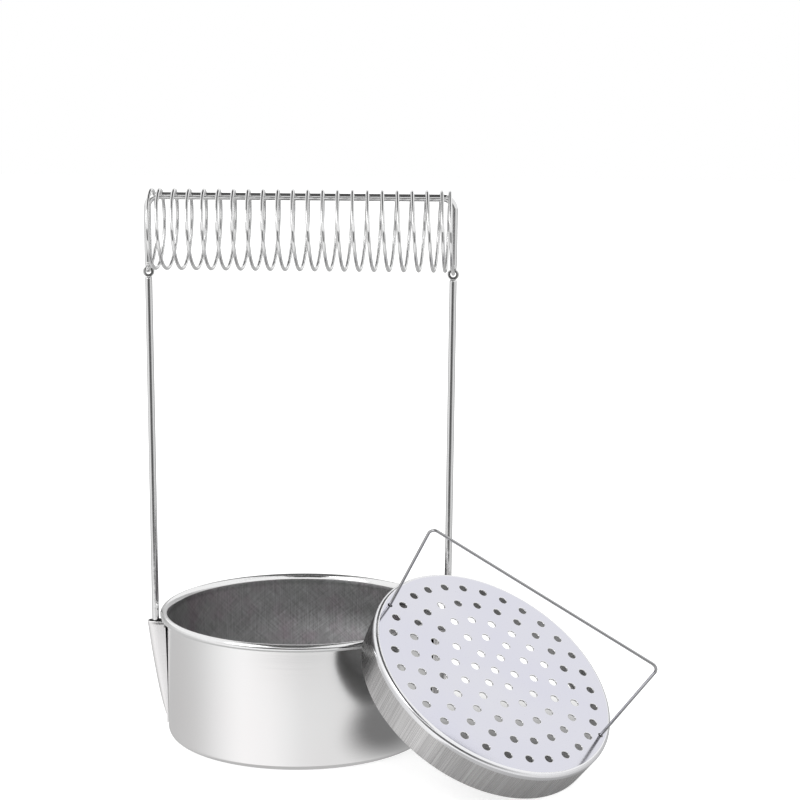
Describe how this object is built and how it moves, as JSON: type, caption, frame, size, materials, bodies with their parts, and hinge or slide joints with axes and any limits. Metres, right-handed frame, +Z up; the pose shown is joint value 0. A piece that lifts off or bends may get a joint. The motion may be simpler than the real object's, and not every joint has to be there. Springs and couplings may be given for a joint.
{
  "type": "brush washer",
  "caption": "Round steel tank with a rolled rim, a wire rack with a spring coil for hanging brushes, and a perforated strainer cap with a wire bail leaning on its rim.",
  "frame": {"origin": "centre of the tank's base, on the floor", "axes": "+Z up, +X along the rack's crossbar towards the leaning strainer"},
  "size_m": [0.2239, 0.1706, 0.2446],
  "materials": {
    "tank_steel": "satin outside, brushed inside",
    "socket_steel": "satin",
    "rod_steel": "polished",
    "coil_steel": "polished",
    "strainer_steel": "polished plate, brushed skirt",
    "bail_steel": "polished"
  },
  "bodies": {
    "tank": {"tank_bowl": "tank_steel", "left_socket": "socket_steel", "right_socket": "socket_steel"},
    "rack": {"rack_frame": "rod_steel", "brush_coil": "coil_steel"},
    "strainer": {"strainer_cap": "strainer_steel"},
    "bail": {"strainer_bail": "bail_steel"}
  },
  "joints": [
    {"name": "rack_lift", "type": "slide", "parent": "tank", "child": "rack", "axis": [0, 0, 1], "range_m": [0, 0.06]},
    {"name": "strainer_lift", "type": "slide", "parent": "tank", "child": "strainer", "axis": [0.4432, -0.3839, 0.81], "range_m": [0, 0.15]},
    {"name": "bail_swing", "type": "hinge", "parent": "strainer", "child": "bail", "pos_m": [0.08757, -0.05614, 0.04532], "axis": [0.8594, -0.075, -0.5058], "range_deg": [-30, 30]}
  ]
}
